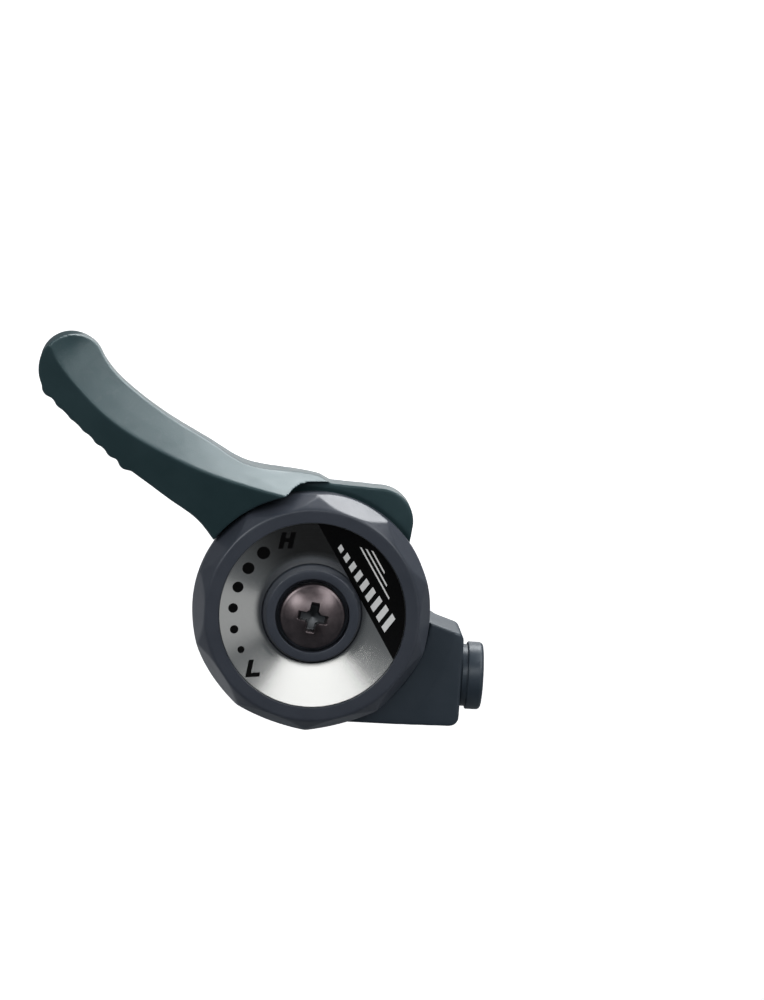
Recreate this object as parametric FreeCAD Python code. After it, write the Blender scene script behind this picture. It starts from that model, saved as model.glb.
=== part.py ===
import FreeCAD, Part
import math
import os

os.makedirs("parts", exist_ok=True)

# Thumb shifter for a flat handlebar, millimetres.
# Origin: on the handlebar axis, under the lever pivot, at mid length of the clamp.
# +X along the bar towards the stem, +Y forward, +Z up along the lever pivot.

# handlebar clamp
bar_r = 11.1
band_thick = 1.2
band_width = 14.0
clamp_gap = 2.0
ear_drop = 6.5
clamp_bolt_z = -17.5

# M5 fasteners
thread_r = 2.45
tapped_r = 2.5
clear_r = 2.7
screw_head_r = 4.6
screw_head_high = 3.2
head_rim_share = 0.35
cross_width = 1.1
cross_span = 4.4
cross_depth = 2.2
clamp_head_high = 3.2
clamp_washer_thick = 1.0
nut_across_flats = 8.0
nut_thick = 4.0
nut_chamfer = 0.6
washer_edge = 0.2
clamp_head_r = 4.6
clamp_washer_r = 5.0
clamp_bolt_end = 8.2

# heights of the pivot stack
saddle_top = 16.5
stop_plate_top = 17.3
lower_washer_top = 17.9
hub_low = 17.95
hub_high = 25.35
friction_low = 25.4
friction_high = 26.2
plate_high = 27.4
spring_rise = 0.8
spring_sheet = 0.5
spring_inner_r = 4.8
spring_outer_r = 9.5
plate_r = 12.0
lower_washer_r = 9.6
lock_washer_r = 4.6
lock_washer_gap = 0.6
cap_under = 29.0
cap_bottom = 26.0
cap_key_top = 30.0
stud_top = 29.7
screw_seat = 31.0
lock_washer_top = 32.0
crest_z = 33.0

# pivot stud
stud_square = 11.0
stud_r = 4.5
stud_flats = 7.0
stud_bore_low = 14.8
screw_tip = 15.4
key_play = 0.05

# dial cap and its plate
cap_r = 17.0
cap_wall = 2.0
crest_r = 15.2
shoulder_r = 15.2
shoulder_side_z = 30.6
facet_count = 10
facet_foot_z = 28.3
dish_outer_r = 13.3
dish_inner_r = 7.1
dish_outer_z = 32.2
dish_inner_z = 30.4
dial_thick = 0.4
dial_edge_play = 0.05
boss_top_r = 6.55
boss_top_z = 33.15
head_recess_r = 5.25

# cable run
cable_y = -9.5
cable_z = 21.0
cable_hole_r = 0.9
housing_r = 2.6
housing_depth = 6.0
stop_flange_r = 4.9
stop_neck_r = 4.5
stop_shank_r = 3.5
stop_inner_x = 18.5
stop_flange_x = 23.25
stop_face_x = 25.5
stop_edge_round = 0.6

# bracket
floor_r = 15.8
floor_low = 14.0
saddle_half_length = 12.5
saddle_half_width = 14.2
saddle_foot_z = 4.5
saddle_bar_r = 11.3
band_groove_play = 0.1
block_inner_r = 16.9
block_step_r = 17.3
block_step_z = 25.6
block_crease_r = 21.1
block_top = 26.2
block_edge_drop = 0.9
block_far_r = 28.5
block_low = 15.1
block_web_r = 18.6
block_right = 22.3
block_back = -16.35
block_front_in = (15.5, -0.6)
block_front_out = (21.75, -2.65)
block_corner_y = -3.9
block_corner_r = 1.3
block_corner_bulge = 0.13

# lever hub
hub_r = 16.4
lower_flange_r = 14.0
drum_r = 8.9
groove_low = 19.9
groove_high = 22.1
bush_outer_r = 6.0
bush_inner_r = 4.55
cap_sweep_r = 17.3

# guard lobe and cable head seat
lobe_low = 20.9
lobe_high = 25.6
lobe_front_y = 17.75
lobe_step_y = 18.1
lobe_step_x = 1.9
lobe_right_x = 14.0
lobe_corner_r = 4.9
lobe_left_x = -6.0
lobe_inner_y = 6.0
seat_r = 2.3
seat_length = 4.6
seat_y = 9.5
housing_low_y = 5.9
housing_high_y = 13.1
housing_left_x = 4.0
housing_right_x = 13.2
seat_face_r = 3.2

# curve of the step where the tall part of the arm ends over the lobe
step_line = [(-5.2, 16.4), (-4.3, 16.95), (-3.4, 17.65), (-1.8, 18.2), (0.5, 18.35), (4.0, 18.2)]
step_inner_y = 6.0

# lever arm, its sides and the ridge between its top faces, from the root to the tip
rider_line = [(-11.0, 5.0), (-14.6, 9.6), (-17.3, 12.7), (-20.5, 14.8), (-23.9, 17.1), (-28.0, 19.85),
              (-32.7, 23.6), (-36.5, 26.85), (-39.0, 29.4)]
front_line = [(0.2, 19.0), (-6.3, 19.8), (-11.0, 20.7), (-14.9, 22.8), (-20.1, 25.6), (-27.3, 30.35),
              (-30.0, 32.8), (-31.9, 35.6)]
ridge_line = [(3.0, 15.6), (-4.85, 16.75), (-8.4, 17.5), (-12.7, 18.55), (-17.0, 19.9), (-20.5, 21.3),
              (-25.7, 23.75), (-30.3, 26.6), (-34.4, 30.3), (-38.0, 34.6), (-43.6, 42.0)]
tip_centre = (-35.95, 33.3)
tip_r = 4.5
ridge_z = 32.8
dark_slope = 20.0
dark_reach = 12.0
light_slope_tip = 48.0
light_slope_root = 68.0
light_drop = 8.0
arm_low_tip = 24.0
arm_low_root = 21.3
rib_count = 7
rib_first = (-39.1, 29.5)
rib_last = (-27.9, 19.7)
rib_r = 1.5
rib_proud = 0.4

# stop tab and the slot that it runs in
travel_back = 20.0
travel_forward = 95.0
tab_angle = -135.0
tab_half_angle = 9.0
tab_inner_r = 10.3
tab_outer_r = 12.3
tab_top = 19.4
slot_play = 0.4
slot_end_play = 0.5

MARGIN = 1.0
UP = FreeCAD.Vector(0, 0, 1)
ALONG_BAR = FreeCAD.Vector(1, 0, 0)
FORWARD = FreeCAD.Vector(0, 1, 0)


def vec(x, y, z=0.0):
    return FreeCAD.Vector(x, y, z)


def disc(radius, low, high):
    return Part.makeCylinder(radius, high - low, vec(0, 0, low), UP)


def ring(outer, inner, low, high):
    return disc(outer, low, high).cut(disc(inner, low - MARGIN, high + MARGIN))


def rod_x(radius, low, high, y, z):
    return Part.makeCylinder(radius, high - low, vec(low, y, z), ALONG_BAR)


def rod_y(radius, low, high, z):
    return Part.makeCylinder(radius, high - low, vec(0, low, z), FORWARD)


def block(low, high):
    size = [b - a for a, b in zip(low, high)]
    return Part.makeBox(size[0], size[1], size[2], vec(*low))


def revolved(profile):
    """Turn a closed (radius, height) outline about the pivot axis."""
    points = [vec(r, 0, z) for r, z in profile]
    points.append(points[0])
    face = Part.Face(Part.makePolygon(points))
    return face.revolve(vec(0, 0, 0), UP, 360)


def prism(wire, low, high):
    face = Part.Face(wire)
    face.translate(vec(0, 0, low))
    return face.extrude(vec(0, 0, high - low))


def sector(outer, inner, low, high, start, end):
    """Part of a ring from one angle to another, degrees."""
    start_r = math.radians(start)
    half = math.radians((start + end) / 2)
    end_r = math.radians(end)
    corners = []
    for radius in (inner, outer):
        for angle in (start_r, half, end_r):
            corners.append(vec(radius * math.cos(angle), radius * math.sin(angle)))
    inside = Part.Arc(corners[0], corners[1], corners[2]).toShape()
    outside = Part.Arc(corners[3], corners[4], corners[5]).toShape()
    sides = [Part.makeLine(corners[2], corners[5]), Part.makeLine(corners[0], corners[3])]
    return prism(Part.Wire(Part.__sortEdges__([inside, outside] + sides)), low, high)


def keyed(radius, flats, low, high):
    """Round bar with two flats, square to the handlebar."""
    return disc(radius, low, high).common(
        block((-radius, -flats / 2, low), (radius, flats / 2, high)))


def round_edges(shape):
    return [edge for edge in shape.Edges if len(edge.Vertexes) == 1]


def save(name, shape):
    shape = shape.removeSplitter()
    solids = shape.Solids
    print("%-16s solids %d volume %.1f valid %s" % (name, len(solids), shape.Volume, shape.isValid()))
    body = solids[0] if len(solids) == 1 else Part.makeCompound(solids)
    body.exportStep("parts/%s.step" % name)


def cross_recess(top_z):
    """Phillips recess: two tapered slots and a centre cone."""
    tool = None
    for turn in (0, 90):
        wide = vec(-cross_span / 2, -cross_width / 2, top_z + MARGIN)
        narrow = vec(-cross_width / 2, -cross_width / 2, top_z - cross_depth)
        profile = [wide, narrow, vec(cross_width / 2, -cross_width / 2, top_z - cross_depth),
                   vec(cross_span / 2, -cross_width / 2, top_z + MARGIN)]
        face = Part.Face(Part.makePolygon(profile + [wide]))
        slot = face.extrude(vec(0, cross_width, 0))
        slot.rotate(vec(0, 0, 0), UP, turn)
        tool = slot if tool is None else tool.fuse(slot)
    return tool


def pan_head(radius, high):
    """Domed screw head standing on z = 0."""
    rim = high * head_rim_share
    dome_r = (radius ** 2 + (high - rim) ** 2) / (2 * (high - rim))
    dome = Part.makeSphere(dome_r, vec(0, 0, high - dome_r))
    return disc(radius, 0, high).common(dome)


def make_clamp_band():
    outer_r = bar_r + band_thick
    half = band_width / 2
    band = rod_x(outer_r, -half, half, 0, 0)
    for side in (-1, 1):
        inner_y = side * clamp_gap / 2
        outer_y = side * (clamp_gap / 2 + band_thick)
        low_y = min(inner_y, outer_y)
        high_y = max(inner_y, outer_y)
        ear = block((-half, low_y, clamp_bolt_z - ear_drop), (half, high_y, -bar_r))
        tip_shape = rod_y(half, low_y, high_y, clamp_bolt_z).fuse(
            block((-half, low_y, clamp_bolt_z), (half, high_y, -bar_r)))
        band = band.fuse(ear.common(tip_shape))
    band = band.cut(rod_x(bar_r, -half - MARGIN, half + MARGIN, 0, 0))
    band = band.cut(block((-half - MARGIN, -clamp_gap / 2, clamp_bolt_z - bar_r),
                          (half + MARGIN, clamp_gap / 2, 0)))
    return band.cut(rod_y(clear_r, -bar_r, bar_r, clamp_bolt_z))


def make_clamp_bolt():
    head_y = clamp_gap / 2 + band_thick + clamp_washer_thick
    head = pan_head(clamp_head_r, clamp_head_high).cut(cross_recess(clamp_head_high))
    head.rotate(vec(0, 0, 0), ALONG_BAR, 90)
    head.translate(vec(0, -head_y, clamp_bolt_z))
    return head.fuse(rod_y(thread_r, -head_y, clamp_bolt_end, clamp_bolt_z))


def make_clamp_washer():
    low_y = -(clamp_gap / 2 + band_thick + clamp_washer_thick)
    high_y = -(clamp_gap / 2 + band_thick)
    washer = rod_y(clamp_washer_r, low_y, high_y, clamp_bolt_z)
    washer = washer.makeFillet(washer_edge, round_edges(washer))
    return washer.cut(rod_y(clear_r, low_y - MARGIN, high_y + MARGIN, clamp_bolt_z))


def make_clamp_nut():
    low_y = clamp_gap / 2 + band_thick
    corner_r = nut_across_flats / 2 / math.cos(math.pi / 6)
    corners = []
    for step in range(7):
        angle = math.radians(60 * step)
        corners.append(vec(corner_r * math.cos(angle), low_y, clamp_bolt_z + corner_r * math.sin(angle)))
    nut = Part.Face(Part.makePolygon(corners)).extrude(vec(0, nut_thick, 0))
    turned = rod_y(corner_r, low_y, low_y + nut_thick, clamp_bolt_z)
    nut = nut.common(turned.makeChamfer(nut_chamfer, round_edges(turned)))
    return nut.cut(rod_y(tapped_r, low_y - MARGIN, low_y + nut_thick + MARGIN, clamp_bolt_z))


def make_pivot_stud():
    half = stud_square / 2
    stud = block((-half, -half, bar_r), (half, half, stop_plate_top))
    stud = stud.fuse(disc(stud_r, stop_plate_top - MARGIN, friction_high))
    stud = stud.fuse(keyed(stud_r, stud_flats, friction_high - MARGIN, stud_top))
    stud = stud.cut(rod_x(bar_r + band_thick, -stud_square, stud_square, 0, 0))
    return stud.cut(disc(tapped_r, stud_bore_low, stud_top + MARGIN))


def block_outline():
    """Plan of the cable block, with its two rounded corners at the stem end."""
    in_x, in_y = block_front_in
    out_x, out_y = block_front_out
    corner = block_corner_r
    diagonal = corner * (1 - math.sqrt(0.5))
    edges = [
        Part.makeLine(vec(in_x, in_y), vec(out_x, out_y)),
        Part.Arc(vec(out_x, out_y),
                 vec((out_x + block_right) / 2 + block_corner_bulge, (out_y + block_corner_y) / 2 + block_corner_bulge),
                 vec(block_right, block_corner_y)).toShape(),
        Part.makeLine(vec(block_right, block_corner_y), vec(block_right, block_back + corner)),
        Part.Arc(vec(block_right, block_back + corner),
                 vec(block_right - diagonal, block_back + diagonal),
                 vec(block_right - corner, block_back)).toShape(),
        Part.makeLine(vec(block_right - corner, block_back), vec(0, block_back)),
        Part.makeLine(vec(0, block_back), vec(in_x, in_y)),
    ]
    return Part.Wire(edges)


def make_bracket():
    section = [(block_inner_r, block_low), (block_inner_r, block_step_z), (block_step_r, block_step_z),
               (block_step_r, block_top), (block_crease_r, block_top),
               (block_far_r, block_top - block_edge_drop), (block_far_r, block_low)]
    cable_block = revolved(section).common(prism(block_outline(), floor_low, block_top))
    web = ring(block_web_r, floor_r - MARGIN, floor_low, saddle_top)
    web = web.common(prism(block_outline(), floor_low, block_top))
    saddle = block((-saddle_half_length, -saddle_half_width, saddle_foot_z),
                   (saddle_half_length, saddle_half_width, floor_low + MARGIN))
    saddle = saddle.common(disc(floor_r, saddle_foot_z, saddle_top))
    bracket = disc(floor_r, floor_low, saddle_top).fuse(saddle).fuse(web).fuse(cable_block)
    half = band_width / 2 + band_groove_play
    bracket = bracket.cut(rod_x(saddle_bar_r, -floor_r, floor_r, 0, 0))
    bracket = bracket.cut(rod_x(bar_r + band_thick + band_groove_play, -half, half, 0, 0))
    hole = stud_square / 2 + key_play
    bracket = bracket.cut(block((-hole, -hole, bar_r), (hole, hole, saddle_top + MARGIN)))
    bracket = bracket.cut(rod_x(stop_shank_r, stop_inner_x, block_far_r, cable_y, cable_z))
    return bracket.cut(rod_x(cable_hole_r, drum_r, stop_inner_x + MARGIN, cable_y, cable_z))


def make_cable_stop():
    body = rod_x(stop_shank_r, stop_inner_x, block_right, cable_y, cable_z)
    neck = rod_x(stop_neck_r, block_right, stop_flange_x, cable_y, cable_z)
    flange = rod_x(stop_flange_r, stop_flange_x, stop_face_x, cable_y, cable_z)
    flange = flange.makeFillet(stop_edge_round, round_edges(flange))
    body = body.fuse(neck).fuse(flange)
    body = body.cut(rod_x(housing_r, stop_face_x - housing_depth, block_far_r, cable_y, cable_z))
    return body.cut(rod_x(cable_hole_r, drum_r, stop_face_x, cable_y, cable_z))


def make_stop_plate():
    plate = disc(tab_outer_r, saddle_top, stop_plate_top)
    plate = plate.fuse(sector(tab_outer_r, tab_inner_r, saddle_top, tab_top,
                              tab_angle - tab_half_angle, tab_angle + tab_half_angle))
    hole = stud_square / 2 + key_play
    return plate.cut(block((-hole, -hole, saddle_top - MARGIN), (hole, hole, stop_plate_top + MARGIN)))


def make_pressure_plate():
    plate = disc(plate_r, friction_high, plate_high)
    return plate.cut(keyed(stud_r + key_play, stud_flats + 2 * key_play,
                           friction_high - MARGIN, plate_high + MARGIN))


def make_disc_spring(low, rising):
    """Conical spring washer; rising ones touch below at the rim."""
    high = low + spring_rise
    if rising:
        profile = [(spring_outer_r, low), (spring_outer_r, low + spring_sheet),
                   (spring_inner_r, high), (spring_inner_r, high - spring_sheet)]
    else:
        profile = [(spring_inner_r, low), (spring_outer_r, high - spring_sheet),
                   (spring_outer_r, high), (spring_inner_r, low + spring_sheet)]
    return revolved(profile)


def make_cap():
    cap = revolved([(0, cap_bottom), (cap_r, cap_bottom), (cap_r, shoulder_side_z), (shoulder_r, crest_z),
                    (dish_outer_r, crest_z), (dish_outer_r, dish_outer_z), (dish_inner_r, dish_inner_z),
                    (boss_top_r, boss_top_z), (0, boss_top_z)])
    cap = cap.cut(disc(cap_r - cap_wall, cap_bottom - MARGIN, cap_under))
    cap = cap.cut(disc(head_recess_r, screw_seat, boss_top_z + MARGIN))
    cap = cap.cut(disc(clear_r, cap_under - MARGIN, boss_top_z))
    cap = cap.cut(keyed(stud_r + key_play, stud_flats + 2 * key_play, cap_under - MARGIN, cap_key_top))
    lean = math.degrees(math.atan2(cap_r - crest_r, crest_z - facet_foot_z))
    for index in range(facet_count):
        facet = block((0, -cap_r, -cap_r), (cap_r, cap_r, cap_r))
        facet.rotate(vec(0, 0, 0), FORWARD, -lean)
        facet.translate(vec(cap_r, 0, facet_foot_z))
        facet.rotate(vec(0, 0, 0), UP, 360 * index / facet_count)
        cap = cap.cut(facet)
    return cap


def make_dial():
    outer = dish_outer_r - dial_edge_play
    inner = dish_inner_r + dial_edge_play
    slope = (dish_outer_z - dish_inner_z) / (dish_outer_r - dish_inner_r)
    outer_z = dish_outer_z - slope * dial_edge_play
    inner_z = dish_inner_z + slope * dial_edge_play
    return revolved([(inner, inner_z), (outer, outer_z), (outer, outer_z + dial_thick),
                     (inner, inner_z + dial_thick)])


def make_lock_washer():
    washer = ring(lock_washer_r, clear_r, screw_seat, lock_washer_top)
    split = block((0, -lock_washer_gap / 2, screw_seat - MARGIN),
                  (cap_r, lock_washer_gap / 2, lock_washer_top + MARGIN))
    return washer.cut(split)


def make_pivot_screw():
    head = pan_head(screw_head_r, screw_head_high).cut(cross_recess(screw_head_high))
    head.translate(vec(0, 0, lock_washer_top))
    return head.fuse(disc(thread_r, screw_tip, lock_washer_top))


def spline(points):
    curve = Part.BSplineCurve()
    curve.interpolate([vec(x, y) for x, y in points])
    return curve


def arm_outline():
    """Plan of the arm: rider side, round tip, front side, and a closed root inside the hub."""
    tip_points = [vec(*rider_line[-1])]
    for angle in (180.0, 140.0, 100.0, 60.0):
        turn = math.radians(angle)
        tip_points.append(vec(tip_centre[0] + tip_r * math.cos(turn), tip_centre[1] + tip_r * math.sin(turn)))
    tip_points.append(vec(*front_line[-1]))
    tip = Part.BSplineCurve()
    tip.interpolate(tip_points)
    edges = [spline(rider_line).toShape(), tip.toShape(), spline(front_line).toShape()]
    root = [front_line[0], (lobe_step_x, lobe_step_y), (lobe_step_x, lobe_inner_y), rider_line[0]]
    for first, second in zip(root[:-1], root[1:]):
        edges.append(Part.makeLine(vec(*first), vec(*second)))
    return Part.Wire(Part.__sortEdges__(edges))


def arm_roof():
    """Solid under the two sloped top faces, lofted along the ridge between them."""
    drop_dark = dark_reach * math.tan(math.radians(dark_slope))
    sections = []
    last = len(ridge_line) - 1
    for index, (x, y) in enumerate(ridge_line):
        share = 1 - index / last
        before = ridge_line[max(index - 1, 0)]
        after = ridge_line[min(index + 1, last)]
        along = vec(before[0] - after[0], before[1] - after[1]).normalize()
        front = vec(-along.y, along.x)
        slope = math.radians(light_slope_tip + (light_slope_root - light_slope_tip) * share)
        light_reach = light_drop / math.tan(slope)
        low = arm_low_tip + (arm_low_root - arm_low_tip) * share
        centre = vec(x, y)
        corners = [centre - front * dark_reach + UP * low,
                   centre - front * dark_reach + UP * (ridge_z - drop_dark),
                   centre + UP * ridge_z,
                   centre + front * light_reach + UP * (ridge_z - light_drop),
                   centre + front * light_reach + UP * low]
        sections.append(Part.makePolygon(corners + [corners[0]]))
    return Part.makeLoft(sections, True, False)


def make_arm():
    plan = prism(arm_outline(), arm_low_root, ridge_z + MARGIN)
    start = vec(*rib_first)
    run = vec(*rib_last) - start
    outward = vec(run.y, -run.x).normalize()
    for index in range(rib_count):
        centre = start + run * (index / (rib_count - 1)) - outward * (rib_r - rib_proud)
        rib = Part.makeCylinder(rib_r, ridge_z + MARGIN - arm_low_root, centre + UP * arm_low_root, UP)
        plan = plan.fuse(rib)
    arm = plan.common(arm_roof())
    return arm.cut(root_step())


def root_step():
    """Space over the lobe, where the tall part of the arm ends in a curved step."""
    first = vec(*step_line[0])
    last = vec(*step_line[-1])
    edges = [spline(step_line).toShape(), Part.makeLine(last, vec(last.x, step_inner_y)),
             Part.makeLine(vec(last.x, step_inner_y), vec(first.x, step_inner_y)),
             Part.makeLine(vec(first.x, step_inner_y), first)]
    return prism(Part.Wire(edges), lobe_high, ridge_z + 2 * MARGIN)


def make_lobe():
    """Guard over the cable run, with a rounded outer corner."""
    x = lobe_right_x
    y = lobe_front_y
    corner = lobe_corner_r
    diagonal = corner * (1 - math.sqrt(0.5))
    edges = [
        Part.makeLine(vec(lobe_step_x, lobe_step_y), vec(x - corner, y)),
        Part.Arc(vec(x - corner, y), vec(x - diagonal, y - diagonal), vec(x, y - corner)).toShape(),
        Part.makeLine(vec(x, y - corner), vec(housing_right_x, lobe_inner_y)),
        Part.makeLine(vec(housing_right_x, lobe_inner_y), vec(lobe_left_x, lobe_inner_y)),
        Part.makeLine(vec(lobe_left_x, lobe_inner_y), vec(lobe_left_x, lobe_step_y)),
        Part.makeLine(vec(lobe_left_x, lobe_step_y), vec(lobe_step_x, lobe_step_y)),
    ]
    return prism(Part.Wire(edges), lobe_low, lobe_high)


def make_lever():
    hub = disc(hub_r, groove_low, hub_high).fuse(disc(lower_flange_r, hub_low, groove_low))
    lever = hub.fuse(make_arm()).fuse(make_lobe())
    lever = lever.cut(ring(hub_r + key_play, drum_r, groove_low, groove_high))
    head_housing = block((housing_left_x, housing_low_y, hub_low),
                         (housing_right_x, housing_high_y, hub_high))
    lever = lever.fuse(head_housing)
    lever = lever.cut(disc(cap_sweep_r, hub_high, crest_z + MARGIN))
    lever = lever.cut(disc(bush_outer_r, hub_low - MARGIN, crest_z))
    lever = lever.cut(rod_x(seat_r, housing_right_x - seat_length, lobe_right_x + MARGIN, seat_y, cable_z))
    lever = lever.cut(rod_x(seat_face_r, housing_right_x, lobe_right_x + MARGIN, seat_y, cable_z))
    lever = lever.cut(rod_x(cable_hole_r, 0, lobe_right_x, seat_y, cable_z))
    slot_start = tab_angle - tab_half_angle - travel_forward - slot_end_play
    slot_end = tab_angle + tab_half_angle + travel_back + slot_end_play
    return lever.cut(sector(tab_outer_r + slot_play, tab_inner_r - slot_play, hub_low - MARGIN, groove_low,
                            slot_start, slot_end))


save("bracket", make_bracket())
save("clamp_band", make_clamp_band())
save("clamp_bolt", make_clamp_bolt())
save("clamp_washer", make_clamp_washer())
save("clamp_nut", make_clamp_nut())
save("pivot_stud", make_pivot_stud())
save("cable_stop", make_cable_stop())
save("stop_plate", make_stop_plate())
save("lower_washer", ring(lower_washer_r, stud_r + key_play, stop_plate_top, lower_washer_top))
save("hub_bush", ring(bush_outer_r, bush_inner_r, hub_low, hub_high))
save("lever", make_lever())
save("friction_washer", ring(plate_r, stud_r + 2 * key_play, friction_low, friction_high))
save("pressure_plate", make_pressure_plate())
save("lower_disc_spring", make_disc_spring(plate_high, True))
save("upper_disc_spring", make_disc_spring(plate_high + spring_rise, False))
save("dial_cap", make_cap())
save("dial_plate", make_dial())
save("lock_washer", make_lock_washer())
save("pivot_screw", make_pivot_screw())
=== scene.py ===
import bpy
import math
from mathutils import Matrix, Vector


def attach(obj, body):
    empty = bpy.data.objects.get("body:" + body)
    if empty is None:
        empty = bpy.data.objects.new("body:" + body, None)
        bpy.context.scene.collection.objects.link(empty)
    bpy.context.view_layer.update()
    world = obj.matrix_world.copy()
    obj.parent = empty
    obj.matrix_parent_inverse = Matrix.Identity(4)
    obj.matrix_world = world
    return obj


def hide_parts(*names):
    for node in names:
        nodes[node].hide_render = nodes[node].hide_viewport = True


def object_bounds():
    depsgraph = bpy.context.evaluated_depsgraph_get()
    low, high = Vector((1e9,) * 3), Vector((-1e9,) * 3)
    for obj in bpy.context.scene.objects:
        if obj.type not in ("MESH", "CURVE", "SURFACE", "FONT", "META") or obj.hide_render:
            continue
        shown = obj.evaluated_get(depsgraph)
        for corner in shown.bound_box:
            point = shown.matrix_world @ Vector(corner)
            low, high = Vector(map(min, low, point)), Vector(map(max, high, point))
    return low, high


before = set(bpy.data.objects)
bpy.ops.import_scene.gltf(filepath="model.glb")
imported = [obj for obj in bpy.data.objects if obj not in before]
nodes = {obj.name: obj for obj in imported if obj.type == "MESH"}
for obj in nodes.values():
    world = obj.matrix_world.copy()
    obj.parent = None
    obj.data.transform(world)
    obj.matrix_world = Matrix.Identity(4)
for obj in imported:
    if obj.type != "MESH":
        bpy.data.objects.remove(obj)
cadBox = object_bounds()
mm = 0.001
up = Vector((0.0, 0.0, 1.0))
print("frame loaded,", len(nodes), "nodes")

viewpoint = {
    "lens": 151.2,  # millimetres
    "sensor": 36.0,
    "distance": 0.600,
    "leanSide": -0.057,  # sideways part of the direction back to the camera
    "leanForward": 0.1358,  # forward part of it
    "roll": 3.5,  # degrees
    "level": 0.028,  # height on the pivot that the view is set from
    "moveRight": 0.01011,
    "moveUp": 0.01572,
    "clip": (0.01, 20.0),
}


def placeCamera(v):
    back = Vector((v["leanSide"], v["leanForward"], 0.0))
    back.z = math.sqrt(1.0 - back.length_squared)
    roll = math.radians(v["roll"])
    upward = Vector((-math.sin(roll), math.cos(roll), 0.0))
    upward = (upward - back * upward.dot(back)).normalized()
    right = upward.cross(back)
    aim = up * v["level"] + right * v["moveRight"] + upward * v["moveUp"]
    data = bpy.data.cameras.new("benchCamera")
    data.lens = v["lens"]
    data.sensor_width = v["sensor"]
    data.clip_start, data.clip_end = v["clip"]
    camera = bpy.data.objects.new("benchCamera", data)
    place = Matrix((right, upward, back)).transposed().to_4x4()
    place.translation = aim + back * v["distance"]
    camera.matrix_world = place
    bpy.context.scene.collection.objects.link(camera)
    bpy.context.scene.camera = camera


studio = {
    "floorDrop": 0.050,  # below the lowest point of the shifter
    "floorSize": 6.0,
    "floorTone": (0.88, 0.88, 0.88),
    "floorRough": 0.9,
    "floorGloss": 0.1,
    "floorGlow": 0.62,  # the sheet is lit from beneath
    "room": (0.52, 0.56, 0.60),
    "roomStrength": 0.22,
    "doorway": (0.056, -0.640, 0.766),  # direction of the dark opening behind the rider
    "doorwayEdges": (0.860, 0.985),  # cosines of the angles where it starts and is darkest
    # name: centre, width, height and watts; each faces the shifter
    # the windows are large and far, the cards small and close
    "panels": {
        "highWindow": ((-0.02, 0.41, 0.93), 0.76, 0.32, 1.42),
        "leftWindow": ((-0.61, 0.46, 0.62), 0.40, 0.45, 2.6),
        "rightWindow": ((0.58, 0.52, 0.60), 0.40, 0.45, 1.6),
        "stemSide": ((0.60, -0.14, 0.82), 0.42, 0.46, 0.22),
        "frontFill": ((0.42, 0.70, 0.20), 0.50, 0.50, 1.8),
        "lowCard": ((0.031, 0.102, -0.034), 0.096, 0.052, 0.110),
        "underCard": ((0.015, 0.050, -0.068), 0.085, 0.070, 0.0178),
        "riderCard": ((-0.078, -0.060, -0.050), 0.10, 0.09, 0.009),
    },
    "aim": (0.0, 0.0, 0.028),
}


def placePanel(name, centre, width, height, watts):
    data = bpy.data.lights.new(name, "AREA")
    data.shape = "RECTANGLE"
    data.size = width
    data.size_y = height
    data.energy = watts
    lamp = bpy.data.objects.new(name, data)
    lamp.location = centre
    outward = Vector(centre) - Vector(studio["aim"])
    lamp.rotation_euler = outward.to_track_quat("Z", "Y").to_euler()
    lamp.visible_camera = False
    bpy.context.scene.collection.objects.link(lamp)


def buildStudio(s):
    world = bpy.data.worlds.new("softRoom")
    world.use_nodes = True
    sky = world.node_tree.nodes["Background"]
    sky.inputs["Color"].default_value = (*s["room"], 1.0)
    ways = world.node_tree.nodes.new("ShaderNodeTexCoord")
    facing = world.node_tree.nodes.new("ShaderNodeVectorMath")
    facing.operation = "DOT_PRODUCT"
    facing.inputs[1].default_value = s["doorway"]
    fade = world.node_tree.nodes.new("ShaderNodeMapRange")
    fade.interpolation_type = "SMOOTHSTEP"
    fade.inputs["From Min"].default_value = s["doorwayEdges"][0]
    fade.inputs["From Max"].default_value = s["doorwayEdges"][1]
    fade.inputs["To Min"].default_value = s["roomStrength"]
    fade.inputs["To Max"].default_value = 0.0
    world.node_tree.links.new(ways.outputs["Generated"], facing.inputs[0])
    world.node_tree.links.new(facing.outputs["Value"], fade.inputs["Value"])
    world.node_tree.links.new(fade.outputs["Result"], sky.inputs["Strength"])
    bpy.context.scene.world = world
    half = s["floorSize"] / 2
    level = cadBox[0].z - s["floorDrop"]
    mesh = bpy.data.meshes.new("floor")
    corners = [(x, y, level) for x, y in ((-half, -half), (half, -half), (half, half), (-half, half))]
    mesh.from_pydata(corners, [], [(0, 1, 2, 3)])
    floor = bpy.data.objects.new("floor", mesh)
    bpy.context.scene.collection.objects.link(floor)
    paint = bpy.data.materials.new("floorPaint")
    paint.use_nodes = True
    shader = paint.node_tree.nodes["Principled BSDF"]
    shader.inputs["Base Color"].default_value = (*s["floorTone"], 1.0)
    shader.inputs["Roughness"].default_value = s["floorRough"]
    shader.inputs["Specular IOR Level"].default_value = s["floorGloss"]
    shader.inputs["Emission Color"].default_value = (1.0, 1.0, 1.0, 1.0)
    shader.inputs["Emission Strength"].default_value = s["floorGlow"]
    mesh.materials.append(paint)
    floor.visible_glossy = False  # the cards give the sheen from below
    for name, panel in s["panels"].items():
        placePanel(name, *panel)
    bpy.context.scene.view_settings.view_transform = "Standard"


placeCamera(viewpoint)
buildStudio(studio)
print("camera and studio placed")


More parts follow.
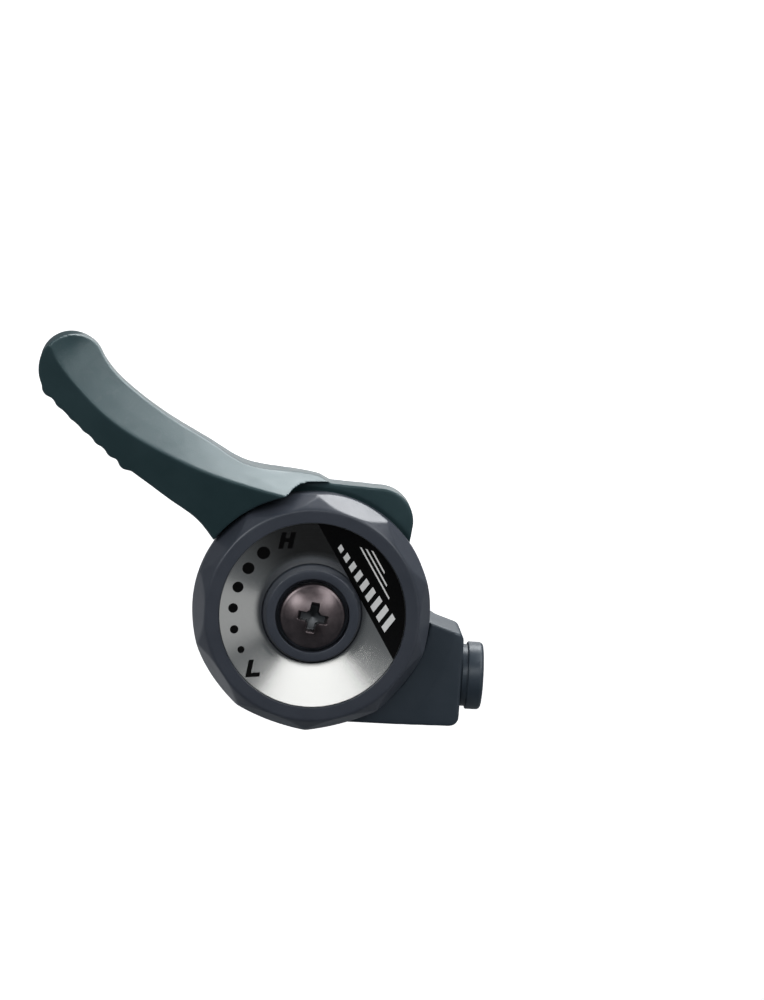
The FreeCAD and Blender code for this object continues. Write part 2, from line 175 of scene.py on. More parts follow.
class Finish:
    # a material, with short calls for adding and joining its nodes
    def __init__(self, name):
        self.material = bpy.data.materials.new(name)
        self.material.use_nodes = True
        self.tree = self.material.node_tree
        self.shader = self.tree.nodes["Principled BSDF"]
        place = self.node("ShaderNodeTexCoord")
        self.place = place.outputs["Object"]

    def node(self, kind, **settings):
        made = self.tree.nodes.new(kind)
        for key, value in settings.items():
            setattr(made, key, value)
        return made

    def join(self, source, target):
        self.tree.links.new(source, target)

    def fixed(self, **values):
        # values that are the same all over the piece
        for key, value in values.items():
            self.shader.inputs[key.replace("_", " ")].default_value = value

    def noise(self, size, detail=2.0, rough=0.5):
        made = self.node("ShaderNodeTexNoise")
        made.inputs["Scale"].default_value = 1.0 / size
        made.inputs["Detail"].default_value = detail
        made.inputs["Roughness"].default_value = rough
        self.join(self.place, made.inputs["Vector"])
        return made.outputs["Fac"]

    def spread(self, source, low, high, start=0.3, end=0.7):
        # start becomes low and end becomes high, evenly in between
        made = self.node("ShaderNodeMapRange")
        made.inputs["From Min"].default_value = start
        made.inputs["From Max"].default_value = end
        made.inputs["To Min"].default_value = low
        made.inputs["To Max"].default_value = high
        self.join(source, made.inputs["Value"])
        return made.outputs["Result"]

    def mix(self, share, first, second):
        made = self.node("ShaderNodeMix", data_type="RGBA")
        self.join(share, made.inputs["Factor"])
        for socket, colour in ((made.inputs["A"], first), (made.inputs["B"], second)):
            if isinstance(colour, tuple):
                socket.default_value = (*colour, 1.0)
            else:
                self.join(colour, socket)
        return made.outputs["Result"]

    def math(self, operation, first, second=None):
        made = self.node("ShaderNodeMath", operation=operation)
        for index, value in enumerate((first, second)):
            if isinstance(value, (int, float)):
                made.inputs[index].default_value = value
            elif value is not None:
                self.join(value, made.inputs[index])
        return made.outputs["Value"]

    def colour(self, source):
        self.join(source, self.shader.inputs["Base Color"])

    def roughness(self, source):
        self.join(source, self.shader.inputs["Roughness"])

    def relief(self, height, depth, strength):
        made = self.node("ShaderNodeBump")
        made.inputs["Strength"].default_value = strength
        made.inputs["Distance"].default_value = depth
        self.join(height, made.inputs["Height"])
        self.join(made.outputs["Normal"], self.shader.inputs["Normal"])

    def pitted(self, pits):
        self.relief(self.noise(pits["size"], detail=3.0), pits["depth"], pits["strength"])

    def radius(self):
        # distance from the pivot axis
        split = self.node("ShaderNodeSeparateXYZ")
        self.join(self.place, split.inputs["Vector"])
        across = self.math("MULTIPLY", split.outputs["X"], split.outputs["X"])
        along = self.math("MULTIPLY", split.outputs["Y"], split.outputs["Y"])
        return self.math("SQRT", self.math("ADD", across, along))


resinTones = {  # darker and lighter patches of each moulding
    "capResin": ((0.0430, 0.0500, 0.0650), (0.0540, 0.0610, 0.0780)),
    "bracketResin": ((0.0350, 0.0480, 0.0630), (0.0450, 0.0590, 0.0760)),
    "leverResin": ((0.0240, 0.0480, 0.0540), (0.0310, 0.0590, 0.0660)),
}
resinSheen = {  # tint of each moulding's highlights
    "capResin": (0.92, 0.96, 1.0, 1.0),
    "bracketResin": (0.90, 0.96, 1.0, 1.0),
    "leverResin": (0.78, 0.95, 1.0, 1.0),
}
resinLook = {
    "scuffed": (0.070, 0.090, 0.100),
    "mottle": 0.0045,  # metres between patches
    "shine": 0.0027,  # metres between duller and shinier patches
    "rough": (0.28, 0.36),
    "grain": 0.00016,
    "grainShare": 0.35,
    "grainDepth": 0.000012,
    "grainStrength": 0.55,
    "rubbedEdges": (0.57, 0.66),  # pointiness where rubbing starts and is full
    "rubbedShare": (0.05, 0.22),
    "index": 1.52,
}


def makeResin(name, look):
    f = Finish(name)
    dark, light = resinTones[name]
    patches = f.noise(look["mottle"], detail=4.0)
    body = f.mix(f.spread(patches, 0.0, 1.0), dark, light)
    fine = f.noise(look["grain"], detail=3.0, rough=0.6)
    body = f.mix(f.spread(fine, 0.0, look["grainShare"]), body, light)
    edge = f.node("ShaderNodeNewGeometry").outputs["Pointiness"]
    onEdges = f.spread(edge, 0.0, 1.0, *look["rubbedEdges"])
    rubbed = f.math("MULTIPLY", onEdges, f.spread(patches, *look["rubbedShare"]))
    f.colour(f.mix(rubbed, body, look["scuffed"]))
    f.roughness(f.spread(f.noise(look["shine"], detail=5.0), *look["rough"]))
    f.relief(fine, look["grainDepth"], look["grainStrength"])
    f.fixed(IOR=look["index"], Specular_Tint=resinSheen[name])
    return f.material


metalLook = {
    "aluminium": {
        "light": (0.70, 0.70, 0.68),
        "dark": (0.60, 0.60, 0.585),
        "rough": (0.18, 0.26),
        "groove": 0.00006,
        "grooveDepth": 0.000002,
        "grooveStrength": 0.20,
        "spun": 0.65,  # how far the grooves draw a highlight out
        "spunTurn": 0.25,
    },
    "zinc": {
        "light": (0.62, 0.62, 0.59),
        "dark": (0.46, 0.46, 0.43),
        "rough": (0.24, 0.40),
        "patch": 0.0022,
    },
    "springSteel": {
        "light": (0.32, 0.32, 0.33),
        "dark": (0.20, 0.20, 0.21),
        "rough": (0.26, 0.42),
        "patch": 0.0020,
    },
    "brass": {
        "light": (0.72, 0.52, 0.24),
        "dark": (0.56, 0.39, 0.17),
        "rough": (0.28, 0.44),
        "patch": 0.0025,
    },
    "blackSteel": {
        "light": (0.185, 0.150, 0.155),
        "dark": (0.110, 0.088, 0.093),
        "rough": (0.30, 0.46),
        "patch": 0.0016,
        # painted shade for the cross recess, darker than the head
        "recess": (0.080, 0.086, 0.092),
        "shadeDepth": (0.0001, 0.0009),  # metres under the dome where the painted shade starts and is full
        "shadeReach": 1.15,  # reach of the painted shade, in times the half width of the cross
        "oil": 0.5,
        "oilRough": 0.26,
    },
}
metalPits = {"size": 0.00025, "depth": 0.000008, "strength": 0.25}
oxidePits = {"size": 0.00025, "depth": 0.000010, "strength": 0.30}


def makeSpunAluminium(look):
    f = Finish("spunAluminium")
    rings = f.node("ShaderNodeTexNoise", noise_dimensions="1D")
    rings.inputs["Scale"].default_value = 1.0 / look["groove"]
    rings.inputs["Detail"].default_value = 3.0
    f.join(f.radius(), rings.inputs["W"])
    grooves = rings.outputs["Fac"]
    f.colour(f.mix(f.spread(grooves, 0.0, 1.0), look["dark"], look["light"]))
    f.roughness(f.spread(grooves, *look["rough"]))
    f.relief(grooves, look["grooveDepth"], look["grooveStrength"])
    turn = f.node("ShaderNodeTangent", direction_type="RADIAL", axis="Z")
    f.join(turn.outputs["Tangent"], f.shader.inputs["Tangent"])
    f.fixed(Metallic=1.0, Anisotropic=look["spun"], Anisotropic_Rotation=look["spunTurn"])
    return f.material


def makeMetal(name, look):
    f = Finish(name)
    patches = f.noise(look["patch"], detail=5.0, rough=0.6)
    f.colour(f.mix(f.spread(patches, 0.0, 1.0), look["dark"], look["light"]))
    f.roughness(f.spread(patches, *look["rough"]))
    f.pitted(metalPits)
    f.fixed(Metallic=1.0)
    return f.material


def makeScrewOxide(look, screw):
    f = Finish("screwOxide")
    patches = f.noise(look["patch"], detail=5.0, rough=0.6)
    body = f.mix(f.spread(patches, 0.0, 1.0), look["dark"], look["light"])
    # painted shade: the tone darkens with the depth under the dome, inside the cross only
    radius = f.radius()
    split = f.node("ShaderNodeSeparateXYZ")
    f.join(f.place, split.inputs["Vector"])
    dome = (screw["headHigh"] - screw["rim"]) * mm
    arc = ((screw["headRadius"] * mm) ** 2 + dome ** 2) / (2 * dome)
    top = (screw["seat"] + screw["headHigh"]) * mm
    under = f.math("SUBTRACT", arc ** 2, f.math("MULTIPLY", radius, radius))
    level = f.math("ADD", f.math("SQRT", f.math("MAXIMUM", under, 0.0)), top - arc)
    depth = f.math("SUBTRACT", level, split.outputs["Z"])
    shadeNearCross = f.math("LESS_THAN", radius, screw["crossHalf"] * look["shadeReach"] * mm)
    inside = f.math("MULTIPLY", f.spread(depth, 0.0, 1.0, *look["shadeDepth"]), shadeNearCross)
    # lays the painted shade into the cross recess
    f.colour(f.mix(inside, body, look["recess"]))
    f.roughness(f.spread(patches, *look["rough"]))
    f.pitted(oxidePits)
    f.fixed(Metallic=1.0, Coat_Weight=look["oil"], Coat_Roughness=look["oilRough"])
    return f.material


printLook = {
    "black": {
        "tone": (0.0020, 0.0020, 0.0022),
        "speck": (0.009, 0.009, 0.009),
        "rough": (0.55, 0.68),
        "gloss": 0.05,
    },
    "white": {
        "tone": (0.92, 0.92, 0.91),
        "speck": (0.80, 0.80, 0.79),
        "rough": (0.40, 0.53),
        "gloss": 0.4,
    },
    "speckSize": 0.00030,
    "speckShare": 0.5,
    "depth": 0.000004,
    "strength": 0.2,
}


def makeInk(name, colour):
    ink = printLook[colour]
    f = Finish(name)
    specks = f.noise(printLook["speckSize"], detail=4.0, rough=0.7)
    f.colour(f.mix(f.spread(specks, 0.0, printLook["speckShare"]), ink["tone"], ink["speck"]))
    f.roughness(f.spread(specks, *ink["rough"]))
    f.relief(specks, printLook["depth"], printLook["strength"])
    f.fixed(Specular_IOR_Level=ink["gloss"])
    return f.material


softLook = {
    "slipResin": {
        "light": (0.66, 0.62, 0.52),
        "dark": (0.56, 0.52, 0.43),
        "rough": (0.36, 0.48),
        "patch": 0.0030,
        "pits": {"size": 0.0003, "depth": 0.000010, "strength": 0.4},
    },
    "frictionLining": {
        "light": (0.100, 0.075, 0.055),
        "dark": (0.035, 0.028, 0.022),
        "rough": (0.74, 0.86),
        "patch": 0.0004,
        "pits": {"size": 0.00004, "depth": 0.000010, "strength": 0.4},
    },
}


def makePlain(name, look):
    f = Finish(name)
    patches = f.noise(look["patch"], detail=5.0, rough=0.65)
    f.colour(f.mix(f.spread(patches, 0.0, 1.0), look["dark"], look["light"]))
    f.roughness(f.spread(patches, *look["rough"]))
    f.pitted(look["pits"])
    return f.material


finishes = {
    "capResin": makeResin("capResin", resinLook),
    "bracketResin": makeResin("bracketResin", resinLook),
    "leverResin": makeResin("leverResin", resinLook),
    "spunAluminium": makeSpunAluminium(metalLook["aluminium"]),
    "zincPlate": makeMetal("zincPlate", metalLook["zinc"]),
    "springTemper": makeMetal("springTemper", metalLook["springSteel"]),
    "bushBrass": makeMetal("bushBrass", metalLook["brass"]),
    "naturalResin": makePlain("naturalResin", softLook["slipResin"]),
    "fibreLining": makePlain("fibreLining", softLook["frictionLining"]),
    "blackInk": makeInk("blackInk", "black"),
    "whiteInk": makeInk("whiteInk", "white"),
}
print("finishes made:", len(finishes))


def addMesh(name, mesh, finish, body, sharpAngle=35.0):
    mesh.name = name
    mesh.materials.clear()
    mesh.materials.append(finish)
    mesh.polygons.foreach_set("use_smooth", [True] * len(mesh.polygons))
    mesh.set_sharp_from_angle(angle=math.radians(sharpAngle))
    piece = bpy.data.objects.new(name, mesh)
    bpy.context.scene.collection.objects.link(piece)
    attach(piece, body)
    return piece


def addPiece(name, points, faces, finish, body, sharpAngle=35.0):
    mesh = bpy.data.meshes.new(name)
    mesh.from_pydata([tuple(c * mm for c in point) for point in points], [], faces)
    mesh.validate()
    mesh.update()
    return addMesh(name, mesh, finish, body, sharpAngle)


def roundCorners(outline, steps=4):
    # each point of an outline is (across, height, corner radius)
    most = 0.45  # share of a side that one rounding may take
    points = []
    count = len(outline)
    for index, (x, y, radius) in enumerate(outline):
        here = Vector((x, y))
        before = Vector(outline[index - 1][:2]) - here
        after = Vector(outline[(index + 1) % count][:2]) - here
        if radius <= 0.0:
            points.append((x, y))
            continue
        opening = before.angle(after)
        reach = min(radius / math.tan(opening / 2), most * before.length, most * after.length)
        radius = reach * math.tan(opening / 2)
        start = here + before.normalized() * reach
        end = here + after.normalized() * reach
        toCentre = (before.normalized() + after.normalized()).normalized()
        centre = here + toCentre * (radius / math.sin(opening / 2))
        first = start - centre
        sweep = first.angle_signed(end - centre)
        for step in range(steps + 1):
            turn = -sweep * step / steps
            c = math.cos(turn)
            s = math.sin(turn)
            spun = (first.x * c - first.y * s, first.x * s + first.y * c)
            points.append((centre.x + spun[0], centre.y + spun[1]))
    return points


def ringFaces(rings, size):
    # closed round both ways
    faces = []
    for a in range(rings):
        b = (a + 1) % rings
        for i in range(size):
            j = (i + 1) % size
            faces.append((a * size + i, b * size + i, b * size + j, a * size + j))
    return faces


def lathe(name, outline, finish, segments):
    # turns a closed (radius, height, corner radius) outline about the pivot axis
    section = roundCorners(outline)
    points = []
    for segment in range(segments):
        turn = 2 * math.pi * segment / segments
        for radius, height in section:
            points.append((radius * math.cos(turn), radius * math.sin(turn), height))
    return addPiece(name, points, ringFaces(segments, len(section)), finish, "root")


capShape = {
    "outerRadius": 17.0,
    "low": 26.0,
    "crest": 33.0,
    "sideTop": 30.6,
    "shoulderStart": 15.2,  # distance from the axis where the shoulder falls away
    "shoulderBlend": 0.12,
    "shoulderSteps": 30,
    "facets": 10,
    "facetFoot": 28.3,
    "facetCrest": 15.2,  # distance of a facet from the axis at crest height
    "blend": 0.07,  # softness of the crest edge
    "facetBlend": 0.20,  # softness of the edges between facets
    "wall": 2.0,
    "ceiling": 29.0,
    "dishOuter": (13.3, 32.2),
    "dishInner": (7.1, 30.4),
    "dishGap": 0.05,  # left under the dial
    "bossTop": (6.55, 33.15),
    "recess": 5.25,
    "seat": 31.0,
    "bore": 2.7,
    "edges": {
        "ceiling": 0.3, "insideLip": 0.2, "outsideLip": 0.3, "side": 0.35,
        "dish": 0.18, "boss": 0.16, "recess": 0.12, "seat": 0.1,
    },
    "edgeSteps": 3,
    "sharpAngle": 60.0,
    "around": 720,
}


def softLeast(values, blend):
    # the least of the values, rounded off where two of them meet
    low = min(values)
    return low - blend * math.log(sum(math.exp((low - value) / blend) for value in values))


def makeCap(c):
    edges = c["edges"]
    fall = (c["crest"] - c["sideTop"]) / (c["outerRadius"] - c["shoulderStart"])
    lean = (c["crest"] - c["facetFoot"]) / (c["outerRadius"] - c["facetCrest"])
    pitch = 2 * math.pi / c["facets"]

    def height(radius, azimuth):
        # crest and shoulder, cut by the nearest facets
        slope = c["crest"] - (radius - c["shoulderStart"]) * fall
        shoulder = softLeast([c["crest"], slope], c["shoulderBlend"])
        nearest = round(azimuth / pitch)
        planes = []
        for facet in (nearest - 1, nearest, nearest + 1):
            out = radius * math.cos(azimuth - facet * pitch)
            planes.append(c["facetFoot"] + (c["outerRadius"] - out) * lean)
        return softLeast([shoulder, softLeast(planes, c["facetBlend"])], c["blend"])

    steps = c["shoulderSteps"]
    inside = c["outerRadius"] - c["wall"]
    rim, rimLevel = c["dishOuter"]
    foot, footLevel = c["dishInner"]
    points = []
    for index in range(c["around"]):
        azimuth = 2 * math.pi * index / c["around"]
        outline = [
            (c["bore"], c["ceiling"], 0.0),
            (inside, c["ceiling"], edges["ceiling"]),
            (inside, c["low"], edges["insideLip"]),
            (c["outerRadius"], c["low"], edges["outsideLip"]),
            (c["outerRadius"], height(c["outerRadius"], azimuth), edges["side"]),
        ]
        for step in range(1, steps):
            radius = c["outerRadius"] - (c["outerRadius"] - rim) * step / steps
            outline.append((radius, height(radius, azimuth), 0.0))
        outline += [
            (rim, c["crest"], edges["dish"]),
            (rim, rimLevel - c["dishGap"], 0.0),
            (foot, footLevel - c["dishGap"], 0.0),
            (*c["bossTop"], edges["boss"]),
            (c["recess"], c["bossTop"][1], edges["recess"]),
            (c["recess"], c["seat"], edges["seat"]),
            (c["bore"], c["seat"], 0.0),
        ]
        section = roundCorners(outline, c["edgeSteps"])
        for radius, level in section:
            points.append((radius * math.cos(azimuth), radius * math.sin(azimuth), level))
    faces = ringFaces(c["around"], len(section))
    cap = addPiece("facetedCap", points, faces, finishes["capResin"], "root", c["sharpAngle"])
    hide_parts("dial_cap")


makeCap(capShape)
print("cap made")


dialShape = {
    "inner": (7.15, 30.42),
    "outer": (13.25, 32.19),
    "thick": 0.4,
    "edge": 0.08,
    "margin": 1.6,  # spacing of the rings that keep the shading flat, in edge roundings
    "around": 360,
}

panelShape = {
    "away": 7.0,  # distance of its straight side from the axis
    "azimuth": 32.0,  # degrees
    "lift": 0.03,  # above the dish
    "inset": 0.06,  # from the dial's rim
    "columns": 96,
    "rows": 24,
    "printLift": 0.05,  # the white print lies over the black
    "barCount": 9,
    "barStart": 6.6,  # along the straight side, from its middle
    "barPitch": 1.62,
    "barWide": 0.92,
    "barLean": 0.45,
    "barBase": 0.75,
    "barLow": 0.7,
    "barHigh": 2.3,
    "stripes": [(3.55, -3.4, 5.3), (4.15, -1.6, 4.7), (4.75, 0.2, 4.1)],  # distance out and both ends
    "stripeWide": 0.22,
}

markShape = {
    "radius": 11.25,
    "lift": 0.03,
    "firstDot": 131.0,  # degrees
    "dotPitch": 15.7,
    "dots": [1.86, 1.71, 1.57, 1.37, 1.19, 0.99],  # how wide each one is
    "dotPoints": 32,
    "letterTilt": 3.5,
    "letterHigh": 2.4,
    "letterWide": 2.0,
    "stroke": 0.70,
    "crossBar": (0.40, 0.8),  # its height on the letter, and its width in strokes
    "footBar": 0.85,
    "outlineStep": 0.2,
    "slant": 0.22,
    "highAt": 111.7,
    "lowAt": -133.8,
}


def dialHeight(x, y, lift):
    inner = dialShape["inner"]
    outer = dialShape["outer"]
    share = (math.hypot(x, y) - inner[0]) / (outer[0] - inner[0])
    return inner[1] + (outer[1] - inner[1]) * share + dialShape["thick"] + lift


def makeDial(d):
    inner, innerLow = d["inner"]
    outer, outerLow = d["outer"]
    innerHigh = innerLow + d["thick"]
    outerHigh = outerLow + d["thick"]
    margin = d["edge"] * d["margin"]
    rise = margin * (outerLow - innerLow) / (outer - inner)
    outline = [
        (inner, innerLow, 0.0),
        (outer, outerLow, 0.0),
        (outer, outerHigh, d["edge"]),
        (outer - margin, outerHigh - rise, 0.0),
        (outer - 2 * margin, outerHigh - 2 * rise, 0.0),
        (inner + 2 * margin, innerHigh + 2 * rise, 0.0),
        (inner + margin, innerHigh + rise, 0.0),
        (inner, innerHigh, d["edge"]),
    ]
    dial = lathe("dialDish", outline, finishes["spunAluminium"], d["around"])
    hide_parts("dial_plate")


def printPatch(name, outline, lift, finish, rings=6):
    # a flat outline laid on the dish, cut fine enough to follow it
    count = len(outline)
    centre = (sum(p[0] for p in outline) / count, sum(p[1] for p in outline) / count)
    points = []
    faces = []
    for ring in range(rings + 1):
        share = 1 - ring / (rings + 1)
        for x, y in outline:
            px = centre[0] + (x - centre[0]) * share
            py = centre[1] + (y - centre[1]) * share
            points.append((px, py, dialHeight(px, py, lift)))
    for ring in range(rings):
        for i in range(count):
            j = (i + 1) % count
            a = ring * count
            faces.append((a + i, a + j, a + count + j, a + count + i))
    points.append((*centre, dialHeight(*centre, lift)))
    middle = len(points) - 1
    for i in range(count):
        j = (i + 1) % count
        faces.append((rings * count + i, rings * count + j, middle))
    addPiece(name, points, faces, finishes[finish], "root")


def divide(corners, step=0.3):
    # adds points along the straight sides of an outline
    points = []
    for index, corner in enumerate(corners):
        here = Vector(corner)
        there = Vector(corners[(index + 1) % len(corners)])
        parts = max(1, round((there - here).length / step))
        for part in range(parts):
            points.append(tuple(here + (there - here) * part / parts))
    return points


def makePanel(p):
    turn = math.radians(p["azimuth"])
    outward = Vector((math.cos(turn), math.sin(turn)))
    along = Vector((-outward.y, outward.x))
    rim = dialShape["outer"][0] - p["inset"]
    halfAngle = math.acos(p["away"] / rim)
    columns = p["columns"]
    rows = p["rows"]
    points = []
    for column in range(columns + 1):
        angle = -halfAngle + 2 * halfAngle * column / columns
        start = p["away"] / math.cos(angle)
        for row in range(rows + 1):
            radius = start + (rim - start) * row / rows
            flat = (outward * math.cos(angle) + along * math.sin(angle)) * radius
            points.append((flat.x, flat.y, dialHeight(flat.x, flat.y, p["lift"])))
    faces = []
    for column in range(columns):
        for row in range(rows):
            a = column * (rows + 1) + row
            faces.append((a, a + 1, a + rows + 2, a + rows + 1))
    addPiece("dialPanel", points, faces, finishes["blackInk"], "root")

    def onPanel(out, side):
        flat = outward * (p["away"] + out) + along * side
        return (flat.x, flat.y)

    def printWhite(name, corners):
        outline = divide([onPanel(*corner) for corner in corners])
        printPatch(name, outline, p["printLift"], "whiteInk")

    for bar in range(p["barCount"]):
        side = p["barStart"] - p["barPitch"] * bar
        tall = p["barLow"] + (p["barHigh"] - p["barLow"]) * bar / (p["barCount"] - 1)
        shift = p["barLean"] * tall
        base = p["barBase"]
        far = side - p["barWide"]
        corners = [(base, side), (base, far), (base + tall, far + shift), (base + tall, side + shift)]
        printWhite(f"panelBar{bar + 1}", corners)
    wide = p["stripeWide"]
    for index, (out, low, high) in enumerate(p["stripes"]):
        corners = [(out, low), (out, high), (out + wide, high - wide), (out + wide, low + wide)]
        printWhite(f"panelStripe{index + 1}", corners)


def makeMarks(m):
    for index, wide in enumerate(m["dots"]):
        turn = math.radians(m["firstDot"] + m["dotPitch"] * index)
        x = m["radius"] * math.cos(turn)
        y = m["radius"] * math.sin(turn)
        outline = []
        for step in range(m["dotPoints"]):
            angle = 2 * math.pi * step / m["dotPoints"]
            outline.append((x + wide / 2 * math.cos(angle), y + wide / 2 * math.sin(angle)))
        printPatch(f"rangeDot{index + 1}", outline, m["lift"], "blackInk")
    tall = m["letterHigh"]
    wide = m["letterWide"]
    stroke = m["stroke"]
    barLow = tall * m["crossBar"][0]
    barHigh = barLow + stroke * m["crossBar"][1]
    letters = {
        "highMark": (m["highAt"], [
            (0, 0, stroke, tall), (wide - stroke, 0, wide, tall), (stroke, barLow, wide - stroke, barHigh),
        ]),
        "lowMark": (m["lowAt"], [(0, 0, stroke, tall), (stroke, 0, wide, stroke * m["footBar"])]),
    }
    tilt = math.radians(m["letterTilt"])
    for name, (azimuth, strokes) in letters.items():
        turn = math.radians(azimuth)
        middle = Vector((m["radius"] * math.cos(turn), m["radius"] * math.sin(turn)))
        for index, (left, low, right, high) in enumerate(strokes):
            outline = []
            corners = [(left, low), (right, low), (right, high), (left, high)]
            for x, y in divide(corners, m["outlineStep"]):
                flat = Vector((x - wide / 2 + (y - tall / 2) * m["slant"], y - tall / 2))
                spun = Vector((flat.x * math.cos(tilt) - flat.y * math.sin(tilt),
                               flat.x * math.sin(tilt) + flat.y * math.cos(tilt)))
                outline.append(tuple(middle + spun))
            printPatch(f"{name}{index + 1}", outline, m["lift"], "blackInk")


makeDial(dialShape)
makePanel(panelShape)
makeMarks(markShape)
print("dial, panel and range marks made")


screwShape = {
    "headRadius": 4.6,
    "seat": 32.0,
    "headHigh": 3.15,
    "rim": 1.3,  # height of the head's side
    "domeInset": 0.35,  # from the head's side to the end of the dome
    "shoulder": 0.42,  # rounding between the dome and the side
    "shoulderDrop": 0.40,
    "shoulderSweep": 62.0,  # degrees
    "shoulderSteps": 6,
    "footBevel": 0.15,
    "shank": 2.45,
    "tip": 15.5,
    "tipBevel": 0.5,
    "crossTurn": -9.0,  # degrees
    "crossHalf": 2.15,
    "crossWide": 0.62,  # half width of a wing
    "crossDeep": 1.5,
    "wingTaper": 0.12,  # share of its width that a wing loses on its way out
    "wingRise": 0.55,  # share of its depth
    "wingSide": (-0.14, 0.10),  # slope of its side, either way from the half width
    "wingEnd": (-0.5, 0.12),
    "middle": 1.15,
    "middleSide": (-0.25, 0.1),
    "sharpAngle": 50.0,
    "around": 360,
    "rows": 110,
}


def makeScrew(s):
    dome = s["headHigh"] - s["rim"]
    arc = (s["headRadius"] ** 2 + dome ** 2) / (2 * dome)
    top = s["seat"] + s["headHigh"]
    domeEdge = s["headRadius"] - s["domeInset"]
    turned = math.radians(s["crossTurn"])

    def domeLevel(radius):
        return top - arc + math.sqrt(arc ** 2 - radius ** 2)

    def within(limit, slope, value):
        # 1 inside the limit and 0 outside, with a soft slope between
        t = min(max((value - limit - slope[0]) / (slope[1] - slope[0]), 0.0), 1.0)
        return 1 - t * t * (3 - 2 * t)

    def recess(radius, angle):
        u = abs(radius * math.cos(angle - turned))
        v = abs(radius * math.sin(angle - turned))
        far = max(u, v)
        near = min(u, v)
        halfWide = s["crossWide"] * (1 - s["wingTaper"] * far / s["crossHalf"])
        wing = within(halfWide, s["wingSide"], near) * within(s["crossHalf"], s["wingEnd"], far)
        inside = max(wing, within(s["middle"], s["middleSide"], radius))
        return s["crossDeep"] * (1 - s["wingRise"] * min(radius / s["crossHalf"], 1.0)) * inside

    points = [(0.0, 0.0, top - s["crossDeep"])]
    for row in range(1, s["rows"] + 1):
        radius = domeEdge * row / s["rows"]
        for index in range(s["around"]):
            angle = 2 * math.pi * index / s["around"]
            level = domeLevel(radius) - recess(radius, angle)
            points.append((radius * math.cos(angle), radius * math.sin(angle), level))
    # rounded shoulder, side, underside, shank and tip
    shoulder = s["shoulder"]
    sweep = s["shoulderSweep"]
    middleLevel = domeLevel(domeEdge) - s["shoulderDrop"]
    below = []
    for part in range(1, s["shoulderSteps"] + 1):
        angle = math.radians(sweep - sweep * part / s["shoulderSteps"])
        radius = s["headRadius"] - shoulder + shoulder * math.cos(angle)
        below.append((radius, middleLevel + shoulder * math.sin(angle)))
    below += [
        (s["headRadius"], s["seat"] + s["footBevel"]),
        (s["headRadius"] - s["footBevel"], s["seat"]),
        (s["shank"], s["seat"]),
        (s["shank"], s["tip"] + s["tipBevel"]),
        (s["shank"] - s["tipBevel"], s["tip"]),
    ]
    for radius, level in below:
        for index in range(s["around"]):
            angle = 2 * math.pi * index / s["around"]
            points.append((radius * math.cos(angle), radius * math.sin(angle), level))
    size = s["around"]
    faces = [(0, 1 + i, 1 + (i + 1) % size) for i in range(size)]
    rings = s["rows"] + len(below)
    for ring in range(rings - 1):
        for i in range(size):
            j = (i + 1) % size
            a = 1 + ring * size
            faces.append((a + i, a + size + i, a + size + j, a + j))
    last = 1 + (rings - 1) * size
    faces.append(tuple(last + i for i in reversed(range(size))))
    oxide = makeScrewOxide(metalLook["blackSteel"], s)
    screw = addPiece("pivotScrew", points, faces, oxide, "root", s["sharpAngle"])
    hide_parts("pivot_screw")


makeScrew(screwShape)
print("pivot screw made")


stopShape = {
    "y": -9.5,
    "z": 21.0,
    # along the cable, radius, corner radius
    "outline": [
        (18.5, 2.6, 0.0),
        (18.5, 3.5, 0.2),
        (22.3, 3.5, 0.0),
        (22.3, 4.5, 0.25),
        (23.25, 4.5, 0.12),
        (23.25, 4.9, 0.3),
        (25.5, 4.9, 0.6),
        (25.5, 2.6, 0.35),
    ],
    "edgeSteps": 5,
    "around": 144,
}


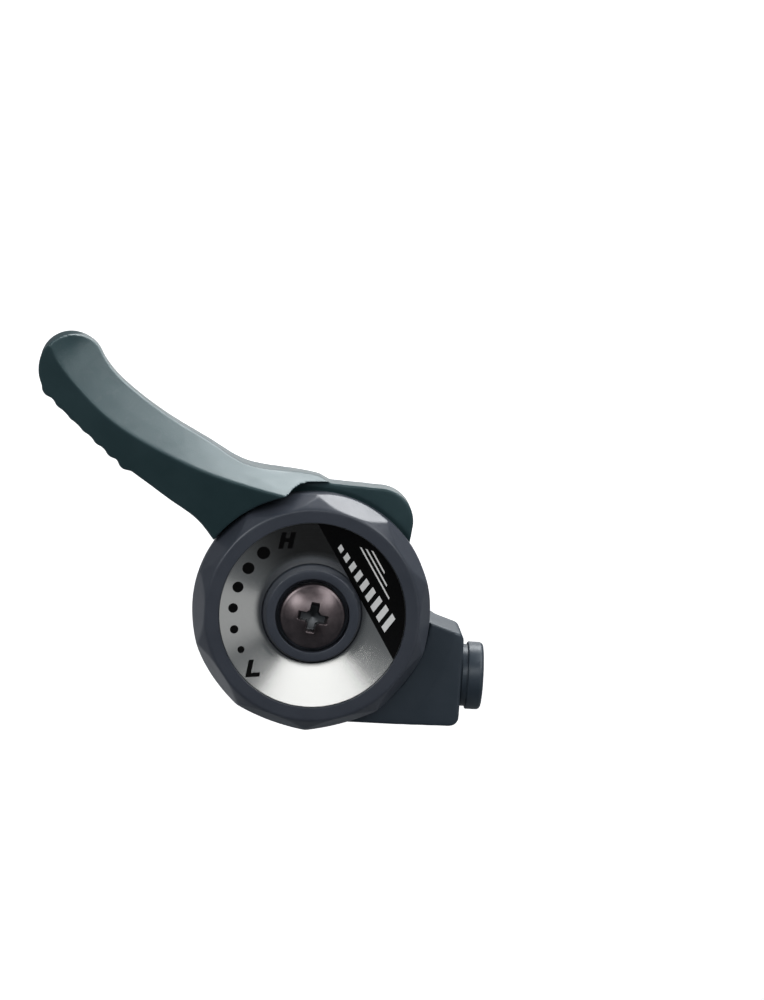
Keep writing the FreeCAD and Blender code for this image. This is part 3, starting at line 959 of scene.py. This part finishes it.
def makeStop(s):
    section = roundCorners(s["outline"], s["edgeSteps"])
    points = []
    for index in range(s["around"]):
        turn = 2 * math.pi * index / s["around"]
        for x, radius in section:
            points.append((x, s["y"] + radius * math.cos(turn), s["z"] + radius * math.sin(turn)))
    faces = ringFaces(s["around"], len(section))
    stop = addPiece("cableBarrel", points, faces, finishes["bracketResin"], "root")
    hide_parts("cable_stop")


makeStop(stopShape)
print("cable barrel made")


mouldings = {
    # node: piece name, skin's mesh size, smoothing rounds, body and finish
    "lever": ("leverMoulding", 0.00017, 13, "lever", "leverResin"),
    "bracket": ("bracketMoulding", 0.00022, 9, "root", "bracketResin"),
}
mouldingSkin = {
    "weld": 0.000005,
    "ease": 0.5,
    "sharpAngle": 80.0,
}


def makeMoulding(node, name, voxel, rounds, body, finish):
    # a fine skin over the node's shape, eased so that its edges round over
    blank = bpy.data.objects.new(name + "Blank", nodes[node].data.copy())
    bpy.context.scene.collection.objects.link(blank)
    weld = blank.modifiers.new("weld", "WELD")
    weld.merge_threshold = mouldingSkin["weld"]
    skin = blank.modifiers.new("skin", "REMESH")
    skin.mode = "VOXEL"
    skin.voxel_size = voxel
    skin.use_smooth_shade = True
    ease = blank.modifiers.new("ease", "SMOOTH")
    ease.factor = mouldingSkin["ease"]
    ease.iterations = rounds
    bpy.context.view_layer.update()
    settled = blank.evaluated_get(bpy.context.evaluated_depsgraph_get())
    mesh = bpy.data.meshes.new_from_object(settled)
    bpy.data.objects.remove(blank)
    piece = addMesh(name, mesh, finishes[finish], body, mouldingSkin["sharpAngle"])
    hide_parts(node)
    print(name, "made,", len(mesh.polygons), "faces")


for node, moulding in mouldings.items():
    makeMoulding(node, *moulding)


nodeFinishes = {
    "clamp_band": "zincPlate",
    "clamp_bolt": "zincPlate",
    "clamp_washer": "zincPlate",
    "clamp_nut": "zincPlate",
    "pivot_stud": "zincPlate",
    "stop_plate": "zincPlate",
    "lower_washer": "naturalResin",
    "hub_bush": "bushBrass",
    "friction_washer": "fibreLining",
    "pressure_plate": "zincPlate",
    "lower_disc_spring": "springTemper",
    "upper_disc_spring": "springTemper",
    "lock_washer": "springTemper",
}
for node, finish in nodeFinishes.items():
    nodes[node].data.materials.clear()
    nodes[node].data.materials.append(finishes[finish])
print("hardware finished:", len(nodeFinishes), "nodes")
